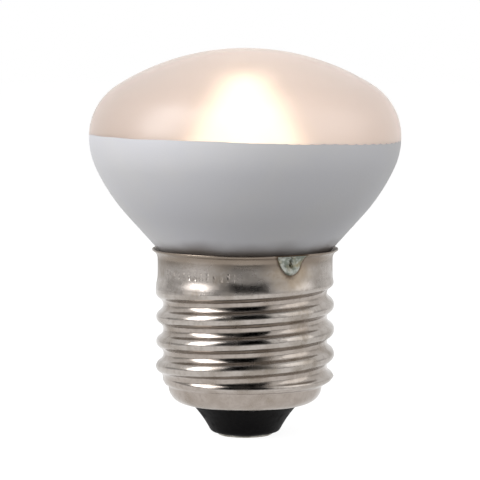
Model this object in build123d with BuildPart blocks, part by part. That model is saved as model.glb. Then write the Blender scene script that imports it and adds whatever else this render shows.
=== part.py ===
from build123d import *
from math import asin, atan2, cos, degrees, hypot, radians, sin, tan
import os

# A reflector lamp for a reptile's basking spot, in millimetres. It stands cap down: the origin is on
# the axis in the plane of the centre contact, +Z runs up the axis to the crown of the glass, and
# -Y is the side that faces a viewer.
os.makedirs("parts", exist_ok=True)

# Blown glass envelope
overall_height = 56.9
bulb_diameter = 45.6
crown_rise = 12.9
glass_wall = 0.7
edge_radius = 8.9
belly_radius = 11.0
belly_turn = 25.0
bowl_radius = 28.0
cone_angle = 42.0
neck_fillet = 4.0
neck_end_height = 13.0
neck_gap = 0.8
rim_gap = 0.86

# Screw cap, pressed and rolled from one thin sheet: seven threads to the inch
cap_sheet = 0.25
thread_pitch = 25.4 / 7
thread_diameter = 26.2
thread_depth = 1.05
thread_flank_angle = 50.0
thread_root_land = 1.1
thread_turns = 4
thread_start_height = 6.7
thread_fade_turns = 0.5
thread_fade_clear = 0.105
thread_top_land = 1.0
cap_underside_height = 4.9
flange_width = 1.6
shoulder_width = 1.7
shoulder_inset = 1.8
shoulder_rise = 1.5
shoulder_wall = 0.7
lead_in_rise = 1.5
skirt_inset = 0.25
skirt_taper = 0.7
skirt_length = 3.5
rim_flare = 0.85
rim_rise = 1.3

# Black glass insulator, centre contact and its solder
insulator_top_height = 7.0
insulator_tip_height = 0.55
insulator_tip_diameter = 10.6
insulator_tip_radius = 0.9
insulator_bore = 2.6
contact_margin = 1.3
contact_thickness = 0.4
collar_height = 1.6
collar_wall = 0.7
solder_diameter = 4.8
solder_taper = 0.2

# Stem: flare, press and exhaust tube
flare_rim = 0.9
flare_height = 5.5
stem_tube_diameter = 8.0
stem_wall = 0.8
press_base_height = 22.0
press_top_height = 29.0
press_width = 9.0
press_thickness = 2.8
exhaust_diameter = 3.0
exhaust_wall = 0.5
exhaust_tip_rise = 0.4
exhaust_tip_taper = 1.0

# Wires and filament, all in the one upright plane that also passes through the rim solder
lead_azimuth = -60.0
lead_diameter = 0.4
lead_bend = 0.8
lead_rise = 1.5
lead_drop = 1.4
lead_hook = 1.8
contact_lead_rise = 1.6
rim_lead_tail = 0.45
filament_diameter = 0.7
filament_span = 13.0
filament_rise = 3.0
filament_drop = 3.0
support_diameter = 0.3
support_base_spacing = 1.8
support_top_spacing = 5.2
support_depth = 2.0
support_rise = 1.0

# Cement ring, the notch in the rim for the lead, and the rim solder
cement_drop = 1.4
rim_notch_drop = 0.9
rim_solder_sphere = 3.6
rim_solder_stand = 0.8
rim_solder_rise = 0.2

# How far a cut runs past what it opens
cut_margin = 1.0

# Radii and heights worked out from the sizes above
bulb_r = bulb_diameter / 2
thread_r = thread_diameter / 2
thread_root_r = thread_r - thread_depth
neck_r = thread_root_r - cap_sheet - neck_gap
shoulder_r = thread_r - shoulder_inset
underside_r = shoulder_r - shoulder_width
cap_hole_r = underside_r - flange_width
shoulder_top = cap_underside_height + shoulder_rise + shoulder_wall
thread_bottom = shoulder_top + lead_in_rise
thread_top = thread_start_height + thread_turns * thread_pitch + thread_top_land
skirt_r = thread_r - skirt_inset
skirt_bottom = thread_top + skirt_taper
skirt_top = skirt_bottom + skirt_length
rim_r = skirt_r + rim_flare
rim_top = skirt_top + rim_rise
contact_bottom = insulator_tip_height - contact_thickness
collar_bore_r = insulator_bore / 2 - collar_wall
tube_bore_r = stem_tube_diameter / 2 - stem_wall
lead_r = lead_diameter / 2
filament_r = filament_diameter / 2
lead_x = (exhaust_diameter / 2 + tube_bore_r) / 2
lead_turn = neck_end_height - lead_drop
cement_top = skirt_top - cement_drop
rim_lead_r = neck_r + neck_gap / 2
rim_lead_end = skirt_top + rim_solder_rise
radial = Vector(cos(radians(lead_azimuth)), sin(radians(lead_azimuth)), 0)
wire_plane = Plane(origin=(0, 0, 0), x_dir=radial, z_dir=radial.cross(Vector(0, 0, 1)))

# The bowl's cone meets the neck; its two arcs above turn it upright at the widest ring. The crown
# rises no further than crown_rise above that ring: a taller lamp has a longer neck, and the shortest
# one has its cone close over the cap's rim
bowl_reach = bowl_radius * (cos(radians(belly_turn)) - cos(radians(cone_angle)))
belly_reach = belly_radius * (1 - cos(radians(belly_turn)))
cone_rise = (bulb_r - neck_r - bowl_reach - belly_reach) / tan(radians(cone_angle))
bowl_rise = bowl_radius * (sin(radians(cone_angle)) - sin(radians(belly_turn)))
neck_to_widest = cone_rise + bowl_rise + belly_radius * sin(radians(belly_turn))
neck_over_rim = rim_top + rim_gap - (rim_r - neck_r) / tan(radians(cone_angle))
neck_top = max(neck_over_rim, overall_height - crown_rise - neck_to_widest)
widest_height = neck_top + neck_to_widest

# The crown is the arc about the axis that the edge's arc runs into
crown_height = overall_height - widest_height
edge_centre_r = bulb_r - edge_radius
crown_radius = (crown_height**2 + edge_centre_r**2 - edge_radius**2) / (2 * (crown_height - edge_radius))
crown_centre = overall_height - crown_radius
edge_sweep = degrees(atan2(widest_height - crown_centre, edge_centre_r))


def glass_form(inset, bottom):
    """The space inside the envelope's outer face, drawn in by inset and cut off flat at bottom."""
    with BuildPart() as form:
        with BuildSketch(Plane.XZ) as half:
            with BuildLine():
                belly = JernArc((bulb_r - inset, widest_height), (0, -1), belly_radius - inset, -belly_turn)
                bowl = JernArc(belly @ 1, belly % 1, bowl_radius - inset, belly_turn - cone_angle)
                cone_drop = ((bowl @ 1).X - neck_r + inset) / tan(radians(cone_angle))
                corner = (neck_r - inset, (bowl @ 1).Y - cone_drop)
                Polyline(
                    bowl @ 1, corner, (neck_r - inset, bottom), (0, bottom), (0, overall_height - inset))
                CenterArc((0, crown_centre), crown_radius - inset, edge_sweep, 90 - edge_sweep)
                CenterArc((edge_centre_r, widest_height), edge_radius - inset, 0, edge_sweep)
            make_face()
            fillet(half.vertices().sort_by_distance(corner)[0], neck_fillet + inset)
        revolve(axis=Axis.Z)
    return form.part


def cap_form(inset, top):
    """The space inside the cap's outer face before its thread is rolled, drawn in by inset.

    The rim's flare carries on outward as far as top."""
    top_r = skirt_r + rim_flare / rim_rise * (top - skirt_top)
    with BuildPart() as form:
        with BuildSketch(Plane.XZ):
            with BuildLine():
                Polyline(
                    (0, cap_underside_height),
                    (underside_r, cap_underside_height),
                    (shoulder_r, cap_underside_height + shoulder_rise),
                    (shoulder_r, shoulder_top),
                    (thread_r, thread_bottom),
                    (thread_r, thread_top),
                    (skirt_r, skirt_bottom),
                    (skirt_r, skirt_top),
                    (top_r, top),
                    (0, top),
                    close=True)
            make_face()
            mirror(about=Plane.YZ)
            if inset > 0:
                offset(amount=-inset, kind=Kind.INTERSECTION)
            split(bisect_by=Plane.YZ)
        revolve(axis=Axis.Z)
    return form.part


def groove_run(inset, start, height, opening):
    """One run of the groove between the thread's crests, its faces drawn in by inset.

    Its section is a trapezium, wider outside. The helix starts on the +X side and its radius grows by
    opening over the run's height."""
    root = thread_root_r - inset
    root_half = thread_root_land / 2 + inset * tan(radians(thread_flank_angle / 2))
    mouth = thread_r + thread_depth
    mouth_half = root_half + (mouth - root) / tan(radians(thread_flank_angle))
    cone = atan2(opening, height)
    with BuildPart() as groove:
        with BuildLine() as path:
            Helix(thread_pitch / cos(cone), height, root, center=(0, 0, start), cone_angle=degrees(cone))
        with BuildSketch(Plane.XZ):
            with BuildLine():
                Polyline(
                    (mouth, start - mouth_half),
                    (root, start - root_half),
                    (root, start + root_half),
                    (mouth, start + mouth_half),
                    close=True)
            make_face()
        sweep(path=path.wire(), is_frenet=True)
    return groove.part


def threaded_form(inset, top):
    """The space inside the cap's outer face with its thread rolled in.

    The groove's last half turn opens outward until it has left the sheet."""
    thread_length = thread_turns * thread_pitch
    fade_length = thread_fade_turns * thread_pitch
    fade_opening = thread_depth + thread_fade_clear
    with BuildPart() as form:
        add(cap_form(inset, top))
        add(groove_run(inset, thread_start_height, thread_length, 0), mode=Mode.SUBTRACT)
        add(
            groove_run(inset, thread_start_height + thread_length, fade_length, fade_opening),
            mode=Mode.SUBTRACT)
    return form.part


glass_outside = glass_form(0, neck_end_height)
cap_inside = threaded_form(cap_sheet, rim_top + cut_margin)

# Lead wires, bent in the upright plane; the rim lead leaves the flare under the neck and climbs
# between the neck and the cap to the rim
hook_half = filament_span / 2
filament_top = widest_height - filament_drop
filament_end = filament_top - filament_rise
filament_size = (hook_half**2 + filament_rise**2) / (2 * filament_rise)
filament_slope = asin(hook_half / filament_size)
hook_x = hook_half + lead_hook * cos(filament_slope)
hook_z = filament_end - lead_hook * sin(filament_slope)
lead_free = press_top_height + lead_rise

with BuildPart() as lead_wire_contact:
    with BuildLine(wire_plane) as route:
        FilletPolyline(
            (-hook_half, filament_end),
            (-hook_x, hook_z),
            (-lead_x, lead_free),
            (-lead_x, lead_turn),
            (0, insulator_top_height + contact_lead_rise),
            (0, contact_bottom + lead_r),
            radius=lead_bend)
    with BuildSketch(Plane(origin=route.wire() @ 0, z_dir=route.wire() % 0)):
        Circle(lead_r)
    sweep(path=route.wire())
lead_wire_contact.part.label = "lead_wire_contact"

with BuildPart() as lead_wire_rim:
    with BuildLine(wire_plane) as route:
        FilletPolyline(
            (hook_half, filament_end),
            (hook_x, hook_z),
            (lead_x, lead_free),
            (lead_x, lead_turn),
            (rim_lead_r, lead_turn),
            (rim_lead_r, cement_top),
            (skirt_r + rim_lead_tail, rim_lead_end),
            radius=lead_bend)
    with BuildSketch(Plane(origin=route.wire() @ 0, z_dir=route.wire() % 0)):
        Circle(lead_r)
    sweep(path=route.wire())
lead_wire_rim.part.label = "lead_wire_rim"

# Filament, as the rod that its coil fills, arched between the leads' hooks
with BuildPart() as filament:
    with BuildLine(wire_plane) as arch:
        ThreePointArc((-hook_half, filament_end), (0, filament_top), (hook_half, filament_end))
    with BuildSketch(Plane(origin=arch.wire() @ 0, z_dir=arch.wire() % 0)):
        Circle(filament_r)
    sweep(path=arch.wire())
filament.part.label = "filament"


def filament_support(side):
    """A wire that stands in the press and ends in a loop round the filament."""
    loop_x = side * support_top_spacing / 2
    loop_angle = asin(loop_x / filament_size)
    loop_z = filament_top - filament_size * (1 - cos(loop_angle))
    loop_r = filament_r + support_diameter
    foot_x = side * support_base_spacing / 2
    bend_z = press_top_height + support_rise
    stop = 1 - loop_r / hypot(loop_x - foot_x, loop_z - bend_z)
    along = radial * cos(loop_angle) - Vector(0, 0, sin(loop_angle))
    with BuildPart() as support:
        with BuildLine(wire_plane) as route:
            Polyline(
                (foot_x, press_top_height - support_depth),
                (foot_x, bend_z),
                (foot_x + stop * (loop_x - foot_x), bend_z + stop * (loop_z - bend_z)))
        with BuildSketch(Plane(origin=route.wire() @ 0, z_dir=route.wire() % 0)):
            Circle(support_diameter / 2)
        sweep(path=route.wire(), transition=Transition.RIGHT)
        with BuildSketch(Plane(origin=wire_plane.from_local_coords(Vector(loop_x, loop_z, 0)), z_dir=along)):
            Circle(loop_r)
        extrude(amount=support_diameter / 2, both=True)
        add(filament.part, mode=Mode.SUBTRACT)
    return support.part


support_left = filament_support(-1)
support_left.label = "filament_support_left"
support_right = filament_support(1)
support_right.label = "filament_support_right"

# Glass envelope: even wall, open at the end of the neck
with BuildPart() as glass_envelope:
    add(glass_outside)
    add(glass_form(glass_wall, neck_end_height - cut_margin), mode=Mode.SUBTRACT)
glass_envelope.part.label = "glass_envelope"

# Stem: a flared tube sealed inside the neck's end, pressed flat round the leads at its top
with BuildPart() as stem_flare:
    with BuildSketch(Plane.XZ):
        with BuildLine():
            seal_r = neck_r - glass_wall
            tube_r = stem_tube_diameter / 2
            flare_top = neck_end_height + flare_height
            Polyline(
                (seal_r, neck_end_height),
                (seal_r, neck_end_height + flare_rim),
                (tube_r, flare_top),
                (tube_r, press_base_height + stem_wall),
                (0, press_base_height + stem_wall),
                (0, press_base_height),
                (tube_bore_r, press_base_height),
                (tube_bore_r, flare_top),
                (seal_r - stem_wall, neck_end_height),
                close=True)
        make_face()
    revolve(axis=Axis.Z)
    with BuildSketch(Plane(origin=(0, 0, press_base_height), x_dir=radial, z_dir=(0, 0, 1))):
        SlotOverall(press_width, press_thickness)
    extrude(amount=press_top_height - press_base_height)
    for wire in (lead_wire_contact.part, lead_wire_rim.part, support_left, support_right):
        add(wire, mode=Mode.SUBTRACT)
stem_flare.part.label = "stem_flare"

# Exhaust tube, drawn to a closed tip
with BuildPart() as exhaust_tube:
    with BuildSketch(Plane.XZ):
        with BuildLine():
            outer_r = exhaust_diameter / 2
            bore_r = outer_r - exhaust_wall
            tip = neck_end_height - exhaust_tip_rise
            Polyline(
                (0, tip),
                (bore_r, tip),
                (outer_r, tip + exhaust_tip_taper),
                (outer_r, press_base_height),
                (bore_r, press_base_height),
                (bore_r, tip + exhaust_tip_taper),
                (0, tip + exhaust_wall),
                close=True)
        make_face()
    revolve(axis=Axis.Z)
exhaust_tube.part.label = "exhaust_tube"

# Screw shell: one sheet of even thickness, its thread rolled through both faces
with BuildPart() as screw_shell:
    add(threaded_form(0, rim_top))
    add(cap_inside, mode=Mode.SUBTRACT)
    with Locations((0, 0, cap_underside_height)):
        Cylinder(cap_hole_r, 2 * cut_margin, mode=Mode.SUBTRACT)
    with BuildSketch(Plane(origin=(0, 0, skirt_top - rim_notch_drop), x_dir=radial, z_dir=(0, 0, 1))):
        with Locations((skirt_r, 0)):
            Rectangle(2 * (rim_flare + cut_margin), lead_diameter)
    extrude(amount=rim_notch_drop + rim_rise + cut_margin, mode=Mode.SUBTRACT)
screw_shell.part.label = "screw_shell"

# Insulator: black glass run into the shoulder, with a cone below that carries the contact
with BuildPart() as insulator:
    with BuildSketch(Plane.XZ) as half:
        with BuildLine():
            Polyline(
                (insulator_bore / 2, insulator_tip_height),
                (insulator_tip_diameter / 2, insulator_tip_height),
                (cap_hole_r, cap_underside_height),
                (cap_hole_r, insulator_top_height),
                (insulator_bore / 2, insulator_top_height),
                close=True)
        make_face()
        tip_corner = half.vertices().sort_by_distance((insulator_tip_diameter / 2, insulator_tip_height))[0]
        fillet(tip_corner, insulator_tip_radius)
    revolve(axis=Axis.Z)
    with BuildPart(mode=Mode.PRIVATE) as shoulder_fill:
        add(cap_inside)
        split(bisect_by=Plane.XY.offset(insulator_top_height), keep=Keep.BOTTOM)
        with Locations((0, 0, insulator_top_height / 2)):
            Cylinder(insulator_bore / 2, insulator_top_height, mode=Mode.SUBTRACT)
    add(shoulder_fill.part)
insulator.part.label = "insulator"

# Centre contact: a disc with a collar that holds it in the insulator's bore
with BuildPart() as centre_contact:
    with BuildSketch(Plane.XY.offset(contact_bottom)):
        Circle(insulator_tip_diameter / 2 - contact_margin)
    extrude(amount=contact_thickness)
    with BuildSketch(Plane.XY.offset(insulator_tip_height)):
        Circle(insulator_bore / 2)
    extrude(amount=collar_height)
    with BuildSketch(Plane.XY.offset(contact_bottom)):
        Circle(collar_bore_r)
    extrude(amount=contact_thickness + collar_height, mode=Mode.SUBTRACT)
centre_contact.part.label = "centre_contact"

# Contact solder: a flat bead under the disc, run up into the collar round the lead
with BuildPart() as contact_solder:
    with BuildSketch(Plane.XZ):
        with BuildLine():
            Polyline(
                (0, 0),
                (solder_diameter / 2 - solder_taper, 0),
                (solder_diameter / 2, contact_bottom),
                (collar_bore_r, contact_bottom),
                (collar_bore_r, insulator_tip_height),
                (0, insulator_tip_height),
                close=True)
        make_face()
    revolve(axis=Axis.Z)
    add(lead_wire_contact.part, mode=Mode.SUBTRACT)
contact_solder.part.label = "contact_solder"

# Cement ring between the neck and the skirt
with BuildPart() as capping_cement:
    with BuildSketch(Plane.XY.offset(skirt_bottom)):
        Circle(skirt_r - cap_sheet)
        Circle(neck_r, mode=Mode.SUBTRACT)
    extrude(amount=cement_top - skirt_bottom)
    add(cap_inside, mode=Mode.INTERSECT)
    add(glass_outside, mode=Mode.SUBTRACT)
    add(lead_wire_rim.part, mode=Mode.SUBTRACT)
capping_cement.part.label = "capping_cement"

# Rim solder: a bead on the skirt and the flare, over the end of the rim lead
with BuildPart() as rim_solder:
    bead_r = skirt_r + rim_solder_stand - rim_solder_sphere
    with Locations(radial * bead_r + Vector(0, 0, rim_lead_end)):
        Sphere(rim_solder_sphere)
    add(cap_form(0, rim_top + rim_solder_sphere), mode=Mode.SUBTRACT)
    split(bisect_by=Plane.XY.offset(rim_top + rim_solder_rise), keep=Keep.BOTTOM)
    add(lead_wire_rim.part, mode=Mode.SUBTRACT)
rim_solder.part.label = "rim_solder"

export_step(glass_envelope.part, "parts/glass_envelope.step")
export_step(stem_flare.part, "parts/stem_flare.step")
export_step(exhaust_tube.part, "parts/exhaust_tube.step")
export_step(lead_wire_contact.part, "parts/lead_wire_contact.step")
export_step(lead_wire_rim.part, "parts/lead_wire_rim.step")
export_step(support_left, "parts/filament_support_left.step")
export_step(support_right, "parts/filament_support_right.step")
export_step(filament.part, "parts/filament.step")
export_step(screw_shell.part, "parts/screw_shell.step")
export_step(insulator.part, "parts/insulator.step")
export_step(centre_contact.part, "parts/centre_contact.step")
export_step(contact_solder.part, "parts/contact_solder.step")
export_step(capping_cement.part, "parts/capping_cement.step")
export_step(rim_solder.part, "parts/rim_solder.step")
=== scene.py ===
# %% [markdown]
# # A reptile basking lamp
# This notebook dresses a small reflector lamp: a blown glass bulb with a frosted face and a mirrored
# bowl, on a rolled nickel screw cap. The CAD model is loaded as a fixed frame, and every piece here is
# built in the same frame, in metres, so nothing has to be fitted afterwards.

# %% Load the frame
import bpy
import math
import numpy as np
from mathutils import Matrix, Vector


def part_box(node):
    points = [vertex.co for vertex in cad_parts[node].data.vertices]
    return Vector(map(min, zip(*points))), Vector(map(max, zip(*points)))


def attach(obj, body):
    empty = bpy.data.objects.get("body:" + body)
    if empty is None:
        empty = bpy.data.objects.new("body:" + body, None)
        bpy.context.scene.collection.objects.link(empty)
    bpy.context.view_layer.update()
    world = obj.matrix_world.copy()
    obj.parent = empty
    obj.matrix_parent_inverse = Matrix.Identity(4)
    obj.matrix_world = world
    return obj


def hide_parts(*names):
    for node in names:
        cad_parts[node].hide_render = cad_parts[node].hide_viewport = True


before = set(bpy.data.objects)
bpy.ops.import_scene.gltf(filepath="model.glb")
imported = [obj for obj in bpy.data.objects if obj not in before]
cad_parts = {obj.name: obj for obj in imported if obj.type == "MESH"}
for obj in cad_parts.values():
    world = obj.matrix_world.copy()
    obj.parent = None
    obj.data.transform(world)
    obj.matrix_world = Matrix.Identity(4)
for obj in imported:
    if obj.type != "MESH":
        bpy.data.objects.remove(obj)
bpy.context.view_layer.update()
MM = 0.001

# %% [markdown]
# The sizes that the drawing fixes are written once, in millimetres. The lamp stands cap down with its
# axis on Z, so most of its forms are a radius that changes with height.

# %% Sizes of the lamp
low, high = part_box("glass_envelope")
BULB_RADIUS = high.x / MM - 0.012
NECK_END = low.z / MM
TOP = high.z / MM
shell_low, shell_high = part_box("screw_shell")
CAP_BOTTOM = shell_low.z / MM
RIM_TOP = shell_high.z / MM
print("bulb radius", round(BULB_RADIUS, 2), "top", round(TOP, 2), "rim", round(RIM_TOP, 2))

GLASS_WALL = 0.7
NECK_RADIUS = 11.0
EDGE_RADIUS = 8.9
BELLY_RADIUS = 11.0
BOWL_RADIUS = 28.0
BELLY_TURN = math.radians(25)
CONE_ANGLE = math.radians(42)
NECK_FILLET = 4.0
PITCH = 25.4 / 7
THREAD_RADIUS = 13.1
THREAD_DEPTH = 1.05
THREAD_START = 6.7
FULL_TURNS = 4
SHEET = 0.25
SKIRT_RADIUS = 12.85
HOLE_RADIUS = 8.0
LEAD_AZIMUTH = math.radians(-60)

# %% [markdown]
# The camera stands where the photographer stood: 350 mm from the lamp's axis, just under the height of
# the crown, tilted down a little. A long lens keeps the sides of the bulb nearly parallel. All of this
# came from fitting the outline of the glass and the cap.

# %% Camera


def add_object(name, data):
    """A new object in the scene."""
    item = bpy.data.objects.new(name, data)
    bpy.context.scene.collection.objects.link(item)
    return item


CAMERA_DISTANCE = 350.0
CAMERA_HEIGHT = 57.8
CAMERA_SIDE = -0.75
CAMERA_TILT = math.radians(4.733)
LENS = 179.61
camera_data = bpy.data.cameras.new("camera")
camera_data.lens = LENS
camera_data.sensor_width = 36.0
camera_data.clip_start = 0.01
camera_data.clip_end = 20.0
camera = add_object("camera", camera_data)
camera.location = Vector((CAMERA_SIDE, -CAMERA_DISTANCE, CAMERA_HEIGHT)) * MM
camera.rotation_euler = (math.pi / 2 - CAMERA_TILT, 0, 0)
bpy.context.scene.camera = camera
bpy.context.scene.view_settings.view_transform = "Standard"
print("camera looks down by", round(math.degrees(CAMERA_TILT), 2), "degrees")

# %% [markdown]
# Nodes are easier to read when each is one line. `add_node` makes a node, sets its properties and its
# unlinked inputs, and links the rest. Sums, spans and noise come so often that each has a helper of its
# own, which returns the output that the next node needs. Every material below is written with them.

# %% Helpers that add shader nodes


def add_node(tree, kind, inputs=None, **settings):
    """Adds one node. An input is a number, a colour or vector, or another node's output to link."""
    node = tree.nodes.new(kind)
    for name, value in settings.items():
        setattr(node, name, value)
    for name, value in (inputs or {}).items():
        if isinstance(value, bpy.types.NodeSocket):
            tree.links.new(value, node.inputs[name])
        else:
            node.inputs[name].default_value = value
    return node


def rgb(red, green, blue):
    """A colour for a socket, with full alpha."""
    return (red, green, blue, 1.0)


def maths(tree, operation, first, second=0.0, **settings):
    """One sum on values that change over a surface."""
    inputs = {0: first, 1: second}
    return add_node(tree, "ShaderNodeMath", inputs, operation=operation, **settings).outputs[0]


def span(tree, value, low, high, first=0.0, second=1.0, **settings):
    """Maps a value that runs from low to high onto first to second."""
    inputs = {"Value": value, "From Min": low, "From Max": high, "To Min": first, "To Max": second}
    return add_node(tree, "ShaderNodeMapRange", inputs, **settings).outputs["Result"]


def soft_mask(tree, value, none, full):
    """0 where the value is at none, 1 where it is at full, and an easy curve between them."""
    return span(tree, value, none, full, interpolation_type="SMOOTHSTEP")


def noise(tree, place, scale, **inputs):
    """Soft random noise at a place."""
    return add_node(tree, "ShaderNodeTexNoise", {"Vector": place, "Scale": scale, **inputs}).outputs["Fac"]


def where(tree):
    """The shaded point in the lamp's own space: as one vector, and as X, Y and Z."""
    place = add_node(tree, "ShaderNodeTexCoord").outputs["Object"]
    return place, *add_node(tree, "ShaderNodeSeparateXYZ", {"Vector": place}).outputs


def empty_tree(owner):
    """The emptied node tree of a world or a material."""
    owner.use_nodes = True
    owner.node_tree.nodes.clear()
    return owner.node_tree


def if_seen(tree, unseen, seen):
    """One number for rays from the camera, a mirror or glass, and another for all other rays."""
    path = add_node(tree, "ShaderNodeLightPath")
    seen_or_mirrored = maths(tree, "ADD", path.outputs["Is Camera Ray"], path.outputs["Is Glossy Ray"])
    any_of_them = maths(tree, "ADD", seen_or_mirrored, path.outputs["Is Transmission Ray"], use_clamp=True)
    return span(tree, any_of_them, 0.0, 1.0, unseen, seen)


# %% [markdown]
# The room is white: the world shows as white to the camera, and also to metal and glass, which mirror it
# and let it through. On everything else it falls as a softer fill, so the lamps can model the form.

# %% World
FILL = 0.32
world = bpy.data.worlds.new("white_room")
bpy.context.scene.world = world
tree = empty_tree(world)
whiteness = if_seen(tree, FILL, 1.0)
background = add_node(tree, "ShaderNodeBackground", {"Color": rgb(1, 1, 1), "Strength": whiteness})
add_node(tree, "ShaderNodeOutputWorld", {"Surface": background.outputs[0]})
print("world fill", FILL)

# %% [markdown]
# A large soft box at the left is the key, a weaker one at the right opens the shadow side, and a third,
# above the lens, fills the front without a reflection of its own. A bright metal cap shows what stands
# round it, so cards do the rest: black ones in front and overhead give the dark bands on the thread, and
# grey ones on the sheet and at both sides give the metal its middle tones. Each card is seen only in
# reflections. Lamps and cards belong to the studio and not to the object.

# %% Soft boxes and flags


def soft_box(name, place, size, power, colour=(1, 1, 1)):
    """An area lamp that points at the middle of the bulb. Places and sizes are in millimetres."""
    data = bpy.data.lights.new(name, "AREA")
    data.shape = "RECTANGLE"
    data.size = size[0] * MM
    data.size_y = size[1] * MM
    data.energy = power
    data.color = colour
    lamp = add_object(name, data)
    lamp.location = Vector(place) * MM
    aim = Vector((0, 0, 30 * MM)) - lamp.location
    lamp.rotation_euler = aim.to_track_quat("-Z", "Y").to_euler()
    lamp.visible_transmission = False
    return lamp


def studio_sheet(name, size):
    """A flat sheet about the origin that belongs to the studio. Sizes are in millimetres."""
    mesh = bpy.data.meshes.new(name)
    corners = ((-0.5, -0.5), (0.5, -0.5), (0.5, 0.5), (-0.5, 0.5))
    mesh.from_pydata([(x * size[0] * MM, y * size[1] * MM, 0) for x, y in corners], [], [(0, 1, 2, 3)])
    sheet = add_object(name, mesh)
    return sheet


def flag(name, place, size, shade=0.0, faces=(0, 1, 0)):
    """A black or grey card, upright unless faces says otherwise, that shows only in reflections."""
    card = studio_sheet(name, size)
    card.location = Vector(place) * MM
    card.rotation_euler = Vector(faces).to_track_quat("-Z", "Y").to_euler()
    for visibility in ("camera", "diffuse", "transmission", "shadow", "volume_scatter"):
        setattr(card, "visible_" + visibility, False)
    material = bpy.data.materials.new(name)
    tree = empty_tree(material)
    glow = add_node(tree, "ShaderNodeEmission", {"Color": rgb(shade, shade, shade)})
    add_node(tree, "ShaderNodeOutputMaterial", {"Surface": glow.outputs[0]})
    card.data.materials.append(material)


soft_box("key_left", (-490, -215, 330), (340, 560), 2.9, (0.98, 0.98, 1.0))
soft_box("fill_front", (80, -440, 300), (300, 300), 0.72).visible_glossy = False
soft_box("side_right", (480, -120, 200), (380, 520), 0.55)
flag("flag_high_front", (-25, -300, 315), (440, 590))
flag("flag_overhead", (-25, -160, 612), (440, 280), faces=(0, 0, -1))
flag("flag_low_front", (0, -140, 14), (900, 28), 0.4)
flag("sheet_left", (-560, 0, 0.5), (800, 800), 0.7, faces=(0, 0, 1))
flag("sheet_right", (560, 0, 0.5), (800, 800), 0.82, faces=(0, 0, 1))
flag("flag_left", (-700, 0, 60), (900, 200), 0.5, faces=(1, 0, 0))
flag("flag_right", (700, 0, 60), (900, 200), 0.7, faces=(-1, 0, 0))
print("soft boxes and flags placed")

# %% [markdown]
# The lamp stands on a white sheet. To the camera the sheet is as white as the room, yet it keeps a faint
# shadow: part of its light is its own, and part is what falls on it.

# %% Floor
FLOOR_SIZE = 6000
PAPER_GREY = 0.32
PAPER_GLOW = 0.9
floor = studio_sheet("floor", (FLOOR_SIZE, FLOOR_SIZE))
paper = bpy.data.materials.new("white_sheet")
tree = empty_tree(paper)
own_light = add_node(tree, "ShaderNodeEmission", {"Strength": if_seen(tree, 0.0, PAPER_GLOW)})
surface = add_node(tree, "ShaderNodeBsdfDiffuse", {"Color": rgb(PAPER_GREY, PAPER_GREY, PAPER_GREY)})
both = add_node(tree, "ShaderNodeAddShader", {0: own_light.outputs[0], 1: surface.outputs[0]})
add_node(tree, "ShaderNodeOutputMaterial", {"Surface": both.outputs[0]})
floor.data.materials.append(paper)
print("floor", FLOOR_SIZE, "mm across")

# %% [markdown]
# Worn metal, satin glass and cast glass are all cloudy in patches, and brushed or drawn metal has fine
# streaks. Each effect is a node group with named inputs, built once and placed in each material with its
# own values. A group gives out only a mask, and the material decides what the mask does.

# %% Shared effect: cloudy patches


def start_group(name, inputs):
    """A shader group with number inputs and one number output called Mask. Returns it and its inputs."""
    group = bpy.data.node_groups.new(name, "ShaderNodeTree")
    for label, value in inputs.items():
        socket = group.interface.new_socket(label, in_out="INPUT", socket_type="NodeSocketFloat")
        socket.default_value = value
    group.interface.new_socket("Mask", in_out="OUTPUT", socket_type="NodeSocketFloat")
    return group, add_node(group, "NodeGroupInput").outputs


def give(group, mask):
    """Makes the mask the group's output, and returns the group."""
    add_node(group, "NodeGroupOutput", {"Mask": mask})
    print("group", group.name, "takes", [item.name for item in group.interface.items_tree][:-1])
    return group


group, given = start_group("patches", {"Scale": 400.0, "Detail": 4.0, "Low": 0.4, "High": 0.65})
place = where(group)[0]
cloud = noise(group, place, given["Scale"], Detail=given["Detail"])
patches = give(group, soft_mask(group, cloud, given["Low"], given["High"]))

# %% Shared effect: streaks that run round the axis
group, given = start_group("streaks", {"Scale": 900.0, "Stretch": 0.06, "Low": 0.45, "High": 0.7})
_, x, y, z = where(group)
along = maths(group, "MULTIPLY", maths(group, "ARCTAN2", y, x), given["Stretch"])
unrolled = add_node(group, "ShaderNodeCombineXYZ", {"X": maths(group, "MULTIPLY", along, 0.02), "Z": z})
lines = noise(group, unrolled.outputs[0], given["Scale"], Detail=5.0)
streaks = give(group, soft_mask(group, lines, given["Low"], given["High"]))

# %% [markdown]
# Materials start from one Principled shader. `finish_of` makes it with its plain values set on its own
# sockets, and `effect` places one of the groups. `dress` then links in what varies over the surface.

# %% Helpers for materials


def finish_of(name, colour, roughness, **values):
    """A material with one Principled shader, and its tree."""
    material = bpy.data.materials.new(name)
    tree = empty_tree(material)
    inputs = {"Base Color": rgb(*colour), "Roughness": roughness}
    inputs.update({label.replace("_", " "): value for label, value in values.items()})
    shader = add_node(tree, "ShaderNodeBsdfPrincipled", inputs)
    add_node(tree, "ShaderNodeOutputMaterial", {"Surface": shader.outputs[0]})
    return material, tree


def effect(tree, group, **values):
    """Places a shared effect and returns its mask."""
    node = tree.nodes.new("ShaderNodeGroup")
    node.node_tree = group
    for label, value in values.items():
        node.inputs[label].default_value = value
    return node.outputs["Mask"]


def blend_colour(tree, mask, first, second):
    """First where the mask is 0 and second where it is 1. Each is a colour or another node's output."""
    mix = add_node(tree, "ShaderNodeMix", {"Factor": mask}, data_type="RGBA")
    for socket, colour in ((mix.inputs[6], first), (mix.inputs[7], second)):
        if isinstance(colour, bpy.types.NodeSocket):
            tree.links.new(colour, socket)
        else:
            socket.default_value = rgb(*colour)
    return mix.outputs[2]


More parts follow.
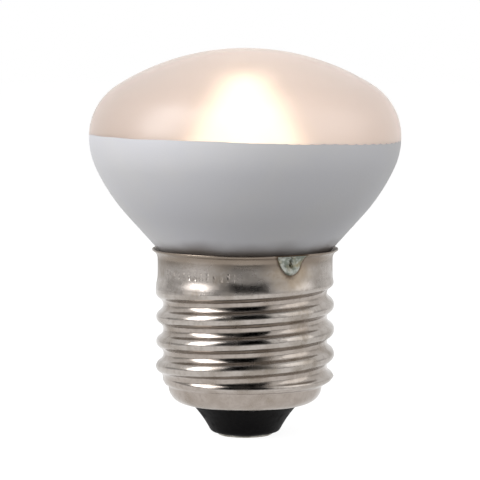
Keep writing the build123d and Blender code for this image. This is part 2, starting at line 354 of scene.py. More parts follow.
def blend_value(tree, mask, first, second):
    """A number between first and second, by the mask."""
    return span(tree, mask, 0.0, 1.0, first, second)


def bump(tree, height, distance_mm):
    """A bumped normal from a height mask."""
    return add_node(tree, "ShaderNodeBump", {"Height": height, "Distance": distance_mm * MM}).outputs[0]


def dress(material, **outputs):
    """Links what varies over the surface to the shader's sockets, each named with _ for a space."""
    tree = material.node_tree
    for label, output in outputs.items():
        tree.links.new(output, tree.nodes["Principled BSDF"].inputs[label.replace("_", " ")])
    print(material.name, "varies in", ", ".join(outputs))


# %% [markdown]
# Almost every piece of the lamp is turned about its axis. A lathe is then the natural tool: a closed
# outline of radius and height goes round in steps, and each stretch of it is a ring of quads. Where it
# touches the axis it closes in a fan. The glass and the cap aren't quite round, so they place their own
# rings of points, and share with the lathe only the way in which the faces join them.

# %% The lathe


def mesh_piece(name, points, faces, material):
    """A smooth-shaded piece that rides on the lamp. Points are in millimetres."""
    mesh = bpy.data.meshes.new(name)
    mesh.from_pydata([tuple(p) for p in np.asarray(points, float) * MM], [], faces)
    mesh.update()
    mesh.polygons.foreach_set("use_smooth", [True] * len(mesh.polygons))
    piece = add_object(name, mesh)
    for one in material if isinstance(material, list) else [material]:
        mesh.materials.append(one)
    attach(piece, "root")
    return piece


def arc(centre, radius, start, end, steps):
    """Points on an arc as (radius from the axis, height), angles in radians."""
    return [(centre[0] + radius * math.cos(a), centre[1] + radius * math.sin(a))
            for a in np.linspace(start, end, steps + 1)]


def ring_faces(rows, columns, closed):
    """Quads between each row of points and the next, all the way round."""
    faces = []
    for row in range(rows if closed else rows - 1):
        below, above = row * columns, (row + 1) % rows * columns
        for column in range(columns):
            beside = (column + 1) % columns
            faces.append((below + column, below + beside, above + beside, above + column))
    return faces


def fan_faces(count, columns):
    """Triangles from the last two of count points, on the axis, to the first ring and the last."""
    last_ring = count - 2 - columns
    faces = []
    for column in range(columns):
        beside = (column + 1) % columns
        faces += [(count - 2, beside, column), (count - 1, last_ring + column, last_ring + beside)]
    return faces


def lathe(name, outline, steps, material):
    """Turns a closed outline that may touch the axis. The outline goes counter-clockwise."""
    angles = np.linspace(0, 2 * math.pi, steps, endpoint=False)
    rings = [p for p in outline if p[0] > 1e-6]
    points = [(r * math.cos(a), r * math.sin(a), z) for r, z in rings for a in angles]
    on_axis = [p for p in outline if p[0] <= 1e-6]
    faces = ring_faces(len(rings), steps, closed=not on_axis)
    if on_axis:
        points += [(0, 0, on_axis[0][1]), (0, 0, on_axis[-1][1])]
        faces += fan_faces(len(points), steps)
    piece = mesh_piece(name, points, faces, material)
    print(name, len(piece.data.polygons), "faces")
    return piece

# %% [markdown]
# The glass is one blown bulb of even wall. Its outline is a chain of arcs that run into each other: neck,
# cone, bowl, belly, the rounded edge of the face, and the crown. The bowl's inside carries a mirror film
# and looks like pale satin metal from outside, and the face is frosted. The film ends in a line that the
# spray left uneven, so the mesh itself follows that line: the ring of points where the two finishes meet
# is moved up and down, and its neighbours follow a little less.

# %% Outline of the glass
WIDEST = 44.01
COATING_EDGE = 43.98
COATING_TILT = 0.47


def glass_outline(inset):
    """Points up the glass from the neck's end to the crown, drawn in by inset, as (radius, height)."""
    bulb = BULB_RADIUS - inset
    belly_centre = (BULB_RADIUS - BELLY_RADIUS, WIDEST)
    reach = BELLY_RADIUS - BOWL_RADIUS
    bowl_centre = (belly_centre[0] + reach * math.cos(BELLY_TURN), WIDEST - reach * math.sin(BELLY_TURN))
    neck = NECK_RADIUS - inset
    belly = arc(belly_centre, BELLY_RADIUS - inset, -BELLY_TURN, 0, 16)
    bowl = arc(bowl_centre, BOWL_RADIUS - inset, -CONE_ANGLE, -BELLY_TURN, 20)
    cone_drop = (bowl[0][0] - neck) / math.tan(CONE_ANGLE)
    corner = bowl[0][1] - cone_drop
    fillet = NECK_FILLET + inset
    fillet_reach = fillet * math.tan(CONE_ANGLE / 2)
    foot = arc((neck + fillet, corner - fillet_reach), fillet, math.pi, math.pi - CONE_ANGLE, 8)
    neck_run = [(neck, z) for z in np.linspace(NECK_END, foot[0][1], 7)]
    rise, across = TOP - WIDEST, BULB_RADIUS - EDGE_RADIUS
    crown_radius = (rise**2 + across**2 - EDGE_RADIUS**2) / (2 * (rise - EDGE_RADIUS))
    crown_centre = TOP - crown_radius
    sweep = math.atan2(WIDEST - crown_centre, across)
    edge = arc((across, WIDEST), EDGE_RADIUS - inset, 0, sweep, 26)
    crown = arc((0, crown_centre), crown_radius - inset, sweep, math.pi / 2, 22)
    assert abs(edge[0][0] - bulb) < 1e-6
    return neck_run + foot[1:] + bowl + belly[1:] + edge[1:] + crown[1:-1] + [(0.0, TOP - inset)]


outside, inside = glass_outline(0), glass_outline(GLASS_WALL)
print("outline of", len(outside), "points, neck to crown")

# %% The uneven line where the mirror film ends


def coating_line(angle):
    """Height of the film's edge at an angle round the bulb, with its tilt, waves and drips."""
    wave = 0.05 * math.sin(3 * angle + 1.0) + 0.035 * math.sin(7 * angle + 2.0) + 0.025 * math.sin(17 * angle)
    toward_right_front = max(0.0, math.cos(angle + math.radians(25))) ** 3
    drip = -0.22 * toward_right_front * abs(math.sin(38 * angle)) ** 0.7
    return COATING_EDGE - COATING_TILT * math.cos(angle) + wave + drip


# %% The envelope
GLASS_STEPS = 480
glass_angles = np.linspace(0, 2 * math.pi, GLASS_STEPS, endpoint=False)
edge_row = min(range(len(outside)), key=lambda i: abs(outside[i][1] - COATING_EDGE))
line_shift = np.array([coating_line(a) for a in glass_angles]) - COATING_EDGE
FOLLOW_HEIGHT = 2.6


def glass_rings(outline):
    """Rings of points whose heights near the film's edge follow its line along the outline."""
    radii, heights = np.array(outline).T
    lengths = np.concatenate(([0], np.cumsum(np.hypot(np.diff(radii), np.diff(heights)))))
    edge_length = np.interp(COATING_EDGE, heights, lengths)
    rings = []
    for length in lengths[:-1]:
        follow = max(0.0, 1 - abs(length - edge_length) / FOLLOW_HEIGHT)
        moved = length + line_shift * follow
        ring_r, ring_z = np.interp(moved, lengths, radii), np.interp(moved, lengths, heights)
        rings.append(np.stack([ring_r * np.cos(glass_angles), ring_r * np.sin(glass_angles), ring_z], 1))
    return rings


outer_rings, inner_rings = glass_rings(outside), glass_rings(inside)
print("film ends", len(outer_rings) - edge_row, "rings below the crown, shift in mm",
      round(float(line_shift.min()), 2), "to", round(float(line_shift.max()), 2))

# %% [markdown]
# A mask that depends only on height makes a band round every side at once. On the bowl it is painted
# shade: a dark band at the foot, just above the cap. On the cap it makes a darker brown band just under
# its rim. It could be painted on the mesh, but as a group it serves both pieces. Noise makes its edge waver.

# %% Shared effect: closeness to a height
group, given = start_group("near_height", {"Height": 0.03, "Reach": 0.002})
place, _, _, z = where(group)
waver = maths(group, "MULTIPLY", noise(group, place, 120.0), given["Reach"])
above = maths(group, "ADD", maths(group, "SUBTRACT", z, given["Height"]), waver)
near_height = give(group, soft_mask(group, above, given["Reach"], 0.0))

# %% [markdown]
# The lit coil shows through the frosting as a soft cone of light, wide at the bowl and narrow at the top.
# Tracing the coil's own light through rough glass gives only a low band and much noise. So the cone is a
# mask in the lamp's own space: how far a point lies from the middle plane, against a width that tapers
# with height. It feeds the face's emission, and stays in its place from wherever the lamp is seen.

# %% Shared effect: the coil's light in the face
group, given = start_group("light_lobe", {"Half Width": 0.0066, "Low": 0.044, "High": 0.0551, "Narrow": 0.92,
                                          "Edge": 0.0042})
_, x, _, z = where(group)
down_share = span(group, z, given["High"], given["Low"])
taper = maths(group, "POWER", down_share, given["Narrow"])
half_wide = maths(group, "MULTIPLY", taper, given["Half Width"])
inside_by = maths(group, "SUBTRACT", half_wide, maths(group, "ABSOLUTE", x))
edges = [maths(group, "MULTIPLY", given["Edge"], share) for share in (-1.0, 0.45)]
lobe = soft_mask(group, inside_by, *edges)
light_lobe = give(group, maths(group, "MULTIPLY", lobe, soft_mask(group, down_share, 0.0, 0.30)))

# %% [markdown]
# The bowl of the glass is opaque. From outside it is fine satin, aluminium seen through etched glass, so
# a pale dielectric with a broad highlight is nearer to it than a metal would be. Its haze is cloudy and
# faint, and its foot carries painted shade: a dark warm band just above the cap.

# %% Finish: satin bowl
satin_bowl, tree = finish_of("satin_bowl", (0.67, 0.67, 0.69), 0.5, IOR=1.4)
haze = effect(tree, patches, Scale=95.0, Detail=3.0, Low=0.35, High=0.7)
# Painted shade: a dark warm band at the foot of the bowl, just above the cap.
painted_foot_shade = effect(tree, near_height, Height=28.6 * MM, Reach=2.4 * MM)
grain = effect(tree, patches, Scale=2600.0, Detail=2.0, Low=0.3, High=0.7)
colour = blend_colour(tree, haze, (0.70, 0.70, 0.725), (0.725, 0.72, 0.725))
colour = blend_colour(tree, painted_foot_shade, colour, (0.20, 0.17, 0.15))
dress(satin_bowl, Base_Color=colour, Roughness=blend_value(tree, haze, 0.42, 0.48),
      Normal=bump(tree, grain, 0.004))

# %% [markdown]
# The face is the same glass, etched. Glass is one Principled shader with full transmission, and etching
# only raises its roughness, a little outside and more inside. What the etching scatters of the coil's
# light is emission: dim all over, warm at the border of the cone and whiter in its core.

# %% Finish: frosted face
frosted_face, tree = finish_of("frosted_face", (1.0, 0.90, 0.86), 0.3, IOR=1.45, Transmission_Weight=1.0,
                               Specular_IOR_Level=0.2, Emission_Strength=0.66)
etching = effect(tree, patches, Scale=240.0, Detail=2.0, Low=0.3, High=0.7)
lobe = effect(tree, light_lobe)
light = blend_colour(tree, lobe, (0.10, 0.067, 0.047), (0.88, 0.62, 0.38))
light = blend_colour(tree, maths(tree, "POWER", lobe, 3.0), light, (0.90, 0.72, 0.54))
dress(frosted_face, Roughness=blend_value(tree, etching, 0.285, 0.32), Emission_Color=light)

# %% Finish: frosting inside the face
etched_inside, tree = finish_of("etched_inside", (0.98, 0.925, 0.885), 0.5, IOR=1.45, Transmission_Weight=1.0)
etching = effect(tree, patches, Scale=200.0, Detail=2.0, Low=0.3, High=0.7)
dress(etched_inside, Roughness=blend_value(tree, etching, 0.48, 0.58))

# %% [markdown]
# From inside, the bowl is a bright mirror: a film of aluminium, slightly dulled, that throws the coil's
# light up through the face. It is a plain metal, with a roughness that varies in clouds.

# %% Finish: mirror film
mirror_film, tree = finish_of("mirror_film", (0.70, 0.69, 0.67), 0.4, Metallic=1.0)
cloud_film = effect(tree, patches, Scale=300.0, Detail=3.0, Low=0.35, High=0.7)
dress(mirror_film, Roughness=blend_value(tree, cloud_film, 0.38, 0.46))

# %% [markdown]
# A solidify modifier could give the glass its wall, but then the film's edge would sit at one height on
# both faces by chance only. So both faces are rings of one closed mesh: down the inside from the crown to
# the neck, and up the outside again. Each band between two rings then gets its own finish.

# %% Build the envelope as one closed mesh
film_row_inside = min(range(len(inside)), key=lambda i: abs(inside[i][1] - COATING_EDGE))
glass_all = list(reversed(inner_rings)) + outer_rings
glass_points = np.concatenate(glass_all + [np.array([[0, 0, TOP - GLASS_WALL], [0, 0, TOP]])])
glass_faces = ring_faces(len(glass_all), GLASS_STEPS, closed=False)
glass_faces += fan_faces(len(glass_points), GLASS_STEPS)
envelope = mesh_piece("blown_envelope", glass_points, glass_faces,
                      [satin_bowl, frosted_face, etched_inside, mirror_film])
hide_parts("glass_envelope")
print("envelope has", len(envelope.data.polygons), "faces")

# %% Give each band of the envelope its finish
inner_count = len(inner_rings)
finishes = []
for row in range(len(glass_all) - 1):
    on_inside = row < inner_count - 1
    inside_face = inner_count - 1 - row > film_row_inside
    outside_face = row - inner_count >= edge_row
    finishes += [(2 if inside_face else 3) if on_inside else (1 if outside_face else 0)] * GLASS_STEPS
finishes += [2, 1] * GLASS_STEPS
envelope.data.polygons.foreach_set("material_index", finishes)
for number, finish in enumerate(envelope.data.materials):
    print(finish.name, "on", finishes.count(number), "faces")

# %% [markdown]
# The screw cap is a single nickelled sheet, a quarter of a millimetre thick, with the thread rolled in so
# that both its faces carry it. A knuckle thread is made of equal arcs that meet halfway down the flank.
# Its depth is worked out for every point of a turned grid: how far the point lies from the nearest turn
# of the groove says how deep it is. A smooth minimum joins the thread to the shoulder and the skirt, and
# the skirt swells gently toward the thread, where its blurred reflections show that it isn't straight.

# %% Cap outline before the thread is rolled
ROOT_RADIUS = THREAD_RADIUS - THREAD_DEPTH
KNUCKLE = (PITCH**2 / 4 + THREAD_DEPTH**2) / (4 * THREAD_DEPTH)
SHOULDER_RADIUS = 11.3
SHOULDER_CORNER = 2.5
THREAD_CLEAR = 0.3
THREAD_FROM = 8.9
THREAD_TO = 21.95
ROW_GAP = 0.115
SKIRT_BOTTOM = 22.9
SWELL_HEIGHT = 22.1
SKIRT_SWELL = 0.35
SWELL_REACH = 0.9
FLARE_START = 26.3
FLARE_CORNER = 1.2
FLARE_TURN = math.radians(52)
FLARE_LENGTH = 0.42


def cap_outline():
    """The cap's outer face from the hole in its end to the flared rim, as (radius, height)."""
    corner_centre = (SHOULDER_RADIUS - SHOULDER_CORNER, CAP_BOTTOM + SHOULDER_CORNER)
    shoulder = arc(corner_centre, SHOULDER_CORNER, -math.pi / 2, 0, 14)
    clear = THREAD_RADIUS + THREAD_CLEAR
    lead_in = [(SHOULDER_RADIUS, 7.45), (SHOULDER_RADIUS + 0.5, 7.75), (THREAD_RADIUS - 0.4, 8.3), (clear, 8.8)]
    thread = [(clear, z) for z in np.arange(THREAD_FROM, THREAD_TO, ROW_GAP)]
    skirt = [(SKIRT_RADIUS + SKIRT_SWELL * math.exp(-(((z - SWELL_HEIGHT) / SWELL_REACH) ** 2)), z)
             for z in np.linspace(SWELL_HEIGHT, FLARE_START, 34)]
    flare_centre = (SKIRT_RADIUS + FLARE_CORNER, FLARE_START)
    flare = arc(flare_centre, FLARE_CORNER, math.pi, math.pi - FLARE_TURN, 8)
    end = (flare[-1][0] + FLARE_LENGTH * math.sin(FLARE_TURN),
           flare[-1][1] + FLARE_LENGTH * math.cos(FLARE_TURN))
    flat = [(r, CAP_BOTTOM) for r in np.linspace(HOLE_RADIUS, corner_centre[0], 4)[:-1]]
    return np.array(flat + shoulder + lead_in + thread + skirt + flare[1:] + [end])


outline = cap_outline()
print("cap outline", len(outline), "points, knuckle radius", round(KNUCKLE, 3), "mm, rim at",
      np.round(outline[-1], 2))

# %% Depth of the rolled thread


def thread_radius_at(turn, height):
    """Radius of the threaded wall at a turn from 0 to 1 round the axis. The last half turn fades out."""
    radius = np.full(np.shape(height), THREAD_RADIUS)
    for run in range(FULL_TURNS + 1):
        away = np.abs(height - (THREAD_START + PITCH * (run + turn)))
        root_arc = ROOT_RADIUS + KNUCKLE - np.sqrt(np.maximum(KNUCKLE**2 - away**2, 0))
        to_crest = np.minimum(np.abs(PITCH / 2 - away), KNUCKLE)
        crest_arc = THREAD_RADIUS - KNUCKLE + np.sqrt(KNUCKLE**2 - to_crest**2)
        groove = np.where(away < PITCH / 4, root_arc, np.where(away < PITCH / 2, crest_arc, THREAD_RADIUS))
        fade = np.clip(1 - 2 * turn, 0, 1) if run == FULL_TURNS else 1.0
        radius = np.minimum(radius, THREAD_RADIUS - (THREAD_RADIUS - groove) * fade)
    return radius


def smooth_minimum(first, second, width):
    """The smaller of two heights, with the corner between them rounded over width."""
    overlap = np.maximum(width - np.abs(first - second), 0) / width
    return np.minimum(first, second) - overlap**2 * width / 4


print("thread radius on +X at root and crest:",
      np.round(thread_radius_at(0.0, np.array([THREAD_START + PITCH, THREAD_START + 1.5 * PITCH])), 3))

# %% Grid of the cap's outer face
CAP_STEPS = 240
BLEND_WIDTH = 0.28
turns = np.arange(CAP_STEPS) / CAP_STEPS
grid_turn, grid_z = np.meshgrid(turns, outline[:, 1])
base_radius = np.repeat(outline[:, :1], CAP_STEPS, 1)
cap_radius = smooth_minimum(base_radius, thread_radius_at(grid_turn, grid_z), BLEND_WIDTH)
cap_radius = np.where(grid_z > CAP_BOTTOM + SHOULDER_CORNER, cap_radius, base_radius)
cap_radius = np.where(grid_z > SKIRT_BOTTOM + PITCH / 2, base_radius, cap_radius)
print("cap radius from", round(float(cap_radius.min()), 2), "to", round(float(cap_radius.max()), 2))

# %% [markdown]
# A sheet that was spun and handled is never quite round. A few shallow waves, hundredths of a
# millimetre deep, make its reflections wander as they do on the real cap.

# %% Shallow unevenness of the sheet
RIM_WAVE = 0.035
wander = 2 * math.pi * grid_turn
waves = (0.012 * np.sin(3 * wander + 0.7 + 0.5 * grid_z) + 0.009 * np.sin(7 * wander + 1.9 - 1.1 * grid_z)
         + 0.005 * np.sin(16 * wander + 2.4 * grid_z))
rim_share = np.clip((grid_z - SKIRT_BOTTOM) / (RIM_TOP - SKIRT_BOTTOM), 0, 1)
cap_radius = cap_radius + waves * np.clip((grid_z - CAP_BOTTOM) / 2, 0, 1)
cap_height = grid_z + RIM_WAVE * rim_share**4 * (np.sin(2 * wander + 1) + np.sin(5 * wander) - 2)
cap_outer = np.stack([cap_radius * np.cos(wander), cap_radius * np.sin(wander), cap_height], 2)
print("unevenness up to", round(float(np.abs(waves).max()), 3), "mm")

# %% [markdown]
# The inner face is the outer one moved inward along its own normals by the sheet's thickness, which is
# how a rolled sheet really behaves: a ridge outside is a groove inside. The two grids are joined at the
# hole and at the rim, where one more ring rounds the cut edge.

# %% Close the sheet
LIP_BULGE = 0.35


def grid_normals(grid):
    """Unit normals of a grid that closes on itself along its second axis, pointing off the axis."""
    round_way = np.roll(grid, -1, 1) - np.roll(grid, 1, 1)
    up_way = np.gradient(grid, axis=0)
    normal = np.cross(round_way, up_way)
    return normal / np.linalg.norm(normal, axis=2, keepdims=True)


cap_normals = grid_normals(cap_outer)
cap_inner = cap_outer - cap_normals * SHEET
lip_way = cap_outer[-1] - cap_outer[-2]
lip_way = lip_way / np.linalg.norm(lip_way, axis=1, keepdims=True)
lip = (cap_outer[-1] + cap_inner[-1]) / 2 + lip_way * SHEET * LIP_BULGE
cap_grid = np.concatenate([cap_outer, lip[None], cap_inner[::-1]])
cap_faces = ring_faces(len(cap_grid), CAP_STEPS, closed=True)
print("sheet grid", cap_grid.shape[0], "rings, highest point", round(float(cap_grid[..., 2].max()), 2))

# %% [markdown]
# The iron that set the solder tinted the nickel round it, yellow and brown. The tint fades with the
# distance to one place, which a vector distance gives directly. A slow noise keeps it from being a disc.

# %% Shared effect: distance to a place
group, given = start_group("near_place", {"X": 0.0, "Y": 0.0, "Z": 0.0, "Reach": 0.005})
place = where(group)[0]
spot = add_node(group, "ShaderNodeCombineXYZ", {axis: given[axis] for axis in "XYZ"}).outputs[0]
apart = add_node(group, "ShaderNodeVectorMath", {0: place, 1: spot}, operation="DISTANCE")
wobble = maths(group, "SUBTRACT", noise(group, place, 420.0), 0.5)
wobble = maths(group, "MULTIPLY", wobble, given["Reach"])
uneven = maths(group, "ADD", apart.outputs["Value"], wobble)
edges = [maths(group, "MULTIPLY", given["Reach"], share) for share in (1.4, 0.4)]
near_place = give(group, soft_mask(group, uneven, *edges))

# %% [markdown]
# Dirt and tarnish stay in the roots of the thread, where nothing rubs. A curvature or dirt map could find
# them, but on a turned piece the distance to the axis is the depth, so the tint follows the roots exactly.

# %% Shared effect: closeness to the axis, for the roots of the thread
group, given = start_group("in_roots", {"Root": 0.01205, "Crest": 0.0131})
_, x, y, _ = where(group)
flat_place = add_node(group, "ShaderNodeCombineXYZ", {"X": x, "Y": y}).outputs[0]
off_axis = add_node(group, "ShaderNodeVectorMath", {0: flat_place}, operation="LENGTH").outputs["Value"]
in_roots = give(group, span(group, off_axis, given["Crest"], given["Root"]))

# %% [markdown]
# Flux burns to a thin brown line along the edge of the bead. The bead's outline on the skirt is close to a
# parabola, so the line needs no drawing: how far a point lies outside the parabola says how dark it is.

# %% Shared effect: the burnt line beside the bead
group, given = start_group("beside_bead", {"Azimuth": LEAD_AZIMUTH, "Radius": SKIRT_RADIUS * MM, "Tip": 0.02425,
                                           "Top": 0.0276, "Half Width": 0.0026, "Spread": 0.36})
place, x, y, z = where(group)
past = maths(group, "SUBTRACT", maths(group, "ARCTAN2", y, x), given["Azimuth"])
aside = maths(group, "MULTIPLY", maths(group, "ABSOLUTE", past), given["Radius"])
aside_share = maths(group, "DIVIDE", aside, given["Half Width"])
up_share = span(group, z, given["Tip"], given["Top"], clamp=False)
outside_by = maths(group, "SUBTRACT", maths(group, "POWER", aside_share, 2.0), up_share)
ragged = maths(group, "MULTIPLY", noise(group, place, 1500.0), given["Spread"])
edge_share = maths(group, "ADD", outside_by, ragged)
beside_bead = give(group, soft_mask(group, edge_share, given["Spread"], 0.0))

# %% [markdown]
# A row of plain short dents runs along the skirt at the left. Cutting them into so thin a sheet would
# take a very dense mesh. They are only a height for the bump: a comb round the axis, kept between two
# angles and two heights, and worn away here and there.

# %% Shared effect: a row of short dents pressed into the skirt
group, given = start_group("dent_row", {"Height": 0.0244, "Tall": 0.0006, "Cells": 12.5, "From": -2.88,
                                        "To": -1.68})
place, x, y, z = where(group)
turn = maths(group, "ARCTAN2", y, x)
tooth = maths(group, "PINGPONG", maths(group, "MULTIPLY", turn, given["Cells"]), 0.5)
dents = soft_mask(group, tooth, 0.22, 0.1)
off_row = maths(group, "ABSOLUTE", maths(group, "SUBTRACT", z, given["Height"]))
limits = [maths(group, "LESS_THAN", off_row, given["Tall"]),
          maths(group, "GREATER_THAN", turn, given["From"]),
          maths(group, "LESS_THAN", turn, given["To"]),
          span(group, noise(group, place, 900.0), 0.35, 0.6)]
for limit in limits:
    dents = maths(group, "MULTIPLY", dents, limit)
dent_row = give(group, dents)

# %% [markdown]
# Nickel is a warm grey metal with a blurred mirror finish. On this cap it is tarnished: cloudy where it
# was handled, brown in the roots, tinted and burnt beside the solder. It is also darker brown in a band just
# under the rim. Each of these is one mask that blends one colour in. The rolled thread is bright, and the
# skirt above it is duller.

# %% Finish: tarnished nickel
nickel, tree = finish_of("tarnished_nickel", (0.62, 0.575, 0.535), 0.2, Metallic=1.0)
clouds = effect(tree, patches, Scale=260.0, Detail=5.0, Low=0.42, High=0.72)
fine = effect(tree, patches, Scale=1700.0, Detail=4.0, Low=0.45, High=0.7)
roots = effect(tree, in_roots, Root=11.95 * MM, Crest=12.9 * MM)
solder_x, solder_y = (SKIRT_RADIUS * MM * share(LEAD_AZIMUTH) for share in (math.cos, math.sin))
heat = effect(tree, near_place, X=solder_x, Y=solder_y, Z=26.4 * MM, Reach=3.6 * MM)
below_rim = effect(tree, near_height, Height=25.9 * MM, Reach=1.9 * MM)
colour = blend_colour(tree, clouds, (0.415, 0.38, 0.35), (0.26, 0.225, 0.19))
colour = blend_colour(tree, fine, colour, (0.345, 0.31, 0.28))
colour = blend_colour(tree, maths(tree, "MULTIPLY", roots, 0.35), colour, (0.27, 0.215, 0.175))
colour = blend_colour(tree, maths(tree, "MULTIPLY", heat, 0.5), colour, (0.36, 0.27, 0.17))
# A darker brown band just under the rim.
colour = blend_colour(tree, below_rim, (0.225, 0.185, 0.15), colour)
colour = blend_colour(tree, effect(tree, beside_bead), colour, (0.085, 0.06, 0.042))
print(nickel.name, "has its colour from six masks")

# %% Its roughness and relief
clouded = maths(tree, "ADD", clouds, heat, use_clamp=True)
on_thread = effect(tree, near_height, Height=21.6 * MM, Reach=1.6 * MM)
roughness = maths(tree, "ADD", blend_value(tree, clouded, 0.16, 0.34), blend_value(tree, on_thread, 0.1, 0.0))
brushed = effect(tree, streaks, Scale=1600.0, Stretch=0.25, Low=0.42, High=0.72)
relief = maths(tree, "SUBTRACT", maths(tree, "MULTIPLY", brushed, 0.05), effect(tree, dent_row))
dress(nickel, Base_Color=colour, Roughness=roughness, Normal=bump(tree, relief, 0.07))

# %% Build the screw cap
cap = mesh_piece("screw_cap", cap_grid.reshape(-1, 3), cap_faces, nickel)
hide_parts("screw_shell")
print("cap has", len(cap.data.polygons), "faces")

# %% [markdown]
# The rim lead is soldered to the skirt just under the rim. The bead set as a soft tongue of grey tin: wide
# at the rim, narrow below, thick in the middle. It is a closed patch laid on the skirt: its front is the
# skirt's radius plus a thickness that falls to nothing at the edges, and its back lies just inside the
# sheet. A slit in its front is where the end of the lead shows.

# %% A closed patch from a front and a back grid


def closed_patch(name, front, back, material):
    """Joins two equal grids of points along all four edges into one closed piece."""
    rows, columns = front.shape[:2]
    number = np.arange(rows * columns).reshape(rows, columns)
    behind = number + rows * columns
    faces = []
    for i in range(rows - 1):
        for j in range(columns - 1):
            faces.append((number[i, j], number[i, j + 1], number[i + 1, j + 1], number[i + 1, j]))
            faces.append((behind[i, j], behind[i + 1, j], behind[i + 1, j + 1], behind[i, j + 1]))
    border = np.concatenate([number[0], number[1:, -1], number[-1, -2::-1], number[-2:0:-1, 0]])
    for here, there in zip(border, np.roll(border, -1)):
        faces.append((here, here + rows * columns, there + rows * columns, there))
    faces = [tuple(int(v) for v in face) for face in faces]
    points = np.concatenate([front.reshape(-1, 3), back.reshape(-1, 3)])
    return mesh_piece(name, points, faces, material)


# %% [markdown]
# Old tin solder is a dull grey-green, lighter where it still shines and yellow-brown where flux stayed on
# it. Two patch masks of different size give this, and the duller of them also roughens and pits it.

# %% Finish: old solder
old_solder, tree = finish_of("old_solder", (0.42, 0.43, 0.39), 0.42, Metallic=0.85)
dull = effect(tree, patches, Scale=1300.0, Detail=5.0, Low=0.38, High=0.62)
flux = effect(tree, patches, Scale=520.0, Detail=3.0, Low=0.5, High=0.68)
colour = blend_colour(tree, dull, (0.43, 0.445, 0.41), (0.22, 0.24, 0.205))
colour = blend_colour(tree, flux, colour, (0.25, 0.225, 0.145))
dress(old_solder, Base_Color=colour, Roughness=blend_value(tree, dull, 0.35, 0.6),
      Normal=bump(tree, dull, 0.05))

# %% The bead on the rim
BEAD_HALF_WIDTH = 2.3
BEAD_LOW = 24.65
BEAD_HIGH = 27.45
BEAD_THICKNESS = 0.62
BEAD_SUNK = 0.12
SLIT_PLACE = -0.12
SLIT_WIDTH = 0.2


def skirt_radius_at(height):
    """Radius of the cap's outer face on the skirt and the flare."""
    above = outline[:, 1] > SKIRT_BOTTOM
    return np.interp(height, outline[above, 1], outline[above, 0])


across, up = np.meshgrid(np.linspace(-1, 1, 61), np.linspace(0, 1, 49))
bead_z = BEAD_LOW + (BEAD_HIGH - BEAD_LOW) * up + 0.10 * np.sin(3 * across + 0.5) * up * (1 - up)
half_width = BEAD_HALF_WIDTH * np.clip(up**0.46, 0.02, None)
sideways = across * half_width
swell = np.sqrt(np.clip(1 - np.abs(across) ** 2.4, 0, 1)) * np.clip(up * 5, 0, 1) ** 0.6
lumps = (1 + 0.10 * np.sin(2.3 * sideways + 1.2) * np.cos(1.9 * bead_z)
         + 0.05 * np.sin(5.1 * sideways + 2 * bead_z))
from_slit = (sideways - SLIT_PLACE * BEAD_HALF_WIDTH) / SLIT_WIDTH
slit = np.exp(-(from_slit**2)) * np.clip((up - 0.38) * 5, 0, 1)
thickness = BEAD_THICKNESS * swell * lumps * (1 - 0.95 * slit) * (1 - 0.25 * up**6)
seat = skirt_radius_at(bead_z)


def on_skirt(radius):
    """Points beside the rim lead at a radius from the axis, at the bead's sideways place and height."""
    angle = LEAD_AZIMUTH + sideways / SKIRT_RADIUS
    return np.stack([radius * np.cos(angle), radius * np.sin(angle), bead_z], 2)


bead = closed_patch("rim_bead", on_skirt(seat + thickness), on_skirt(seat - BEAD_SUNK), old_solder)
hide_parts("rim_solder")
print("bead", BEAD_HALF_WIDTH * 2, "mm wide and", round(BEAD_HIGH - BEAD_LOW, 2), "mm high")

# %% [markdown]
# Under the cap is the insulator, black glass poured into the shoulder while hot. It shows as a cone with
# a slightly hollow flank and a rounded foot, and it goes on unseen inside the shell. It is turned on the
# lathe. The glass is nearly black and not very glossy, with a little dust and some pits.

# %% Finish: black glass
black_glass, tree = finish_of("black_glass", (0.012, 0.011, 0.011), 0.55, IOR=1.52,
                              Specular_IOR_Level=0.04)
dust = effect(tree, patches, Scale=700.0, Detail=5.0, Low=0.5, High=0.72)
pits = effect(tree, patches, Scale=1400.0, Detail=3.0, Low=0.35, High=0.7)
colour = blend_colour(tree, dust, (0.005, 0.0045, 0.0048), (0.012, 0.011, 0.011))
dress(black_glass, Base_Color=colour, Roughness=blend_value(tree, dust, 0.5, 0.7),
      Normal=bump(tree, pits, 0.02))

# %% The insulator
BORE = 1.3
TIP_RADIUS = 4.9
TIP_HEIGHT = 0.55
TIP_ROUND = 0.9
INSULATOR_TOP = 7.0
FLANK_HOLLOW = 0.2
BURIED_TURN = -0.16
cone_turn = math.atan2(HOLE_RADIUS - TIP_RADIUS, CAP_BOTTOM - TIP_HEIGHT)
tip_centre = (TIP_RADIUS - TIP_ROUND * math.tan((math.pi / 2 - cone_turn) / 2), TIP_HEIGHT + TIP_ROUND)
foot_arc = arc(tip_centre, TIP_ROUND, -math.pi / 2, -cone_turn, 10)
flank = [(foot_arc[-1][0] + (HOLE_RADIUS - foot_arc[-1][0]) * t - FLANK_HOLLOW * math.sin(math.pi * t),
          foot_arc[-1][1] + (CAP_BOTTOM - foot_arc[-1][1]) * t) for t in np.linspace(0, 1, 13)[1:]]
buried_centre = (SHOULDER_RADIUS - SHOULDER_CORNER, CAP_BOTTOM + SHOULDER_CORNER)
buried = arc(buried_centre, SHOULDER_CORNER - SHEET, -math.pi / 2, BURIED_TURN, 8)
insulator_outline = [(BORE, TIP_HEIGHT)] + foot_arc + flank + [(HOLE_RADIUS, CAP_BOTTOM + SHEET)] + buried
insulator_outline += [(r, INSULATOR_TOP) for r in (10.8, 6.0, BORE)]
insulator = lathe("insulator_cone", insulator_outline, 96, black_glass)
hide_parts("insulator")

# %% [markdown]
# The contact is a small disc with a collar, under the insulator, and a flat bead of solder on it touches
# the lamp holder. Both are turned. The disc is rubbed and brownish, and the solder is greyer and brighter.

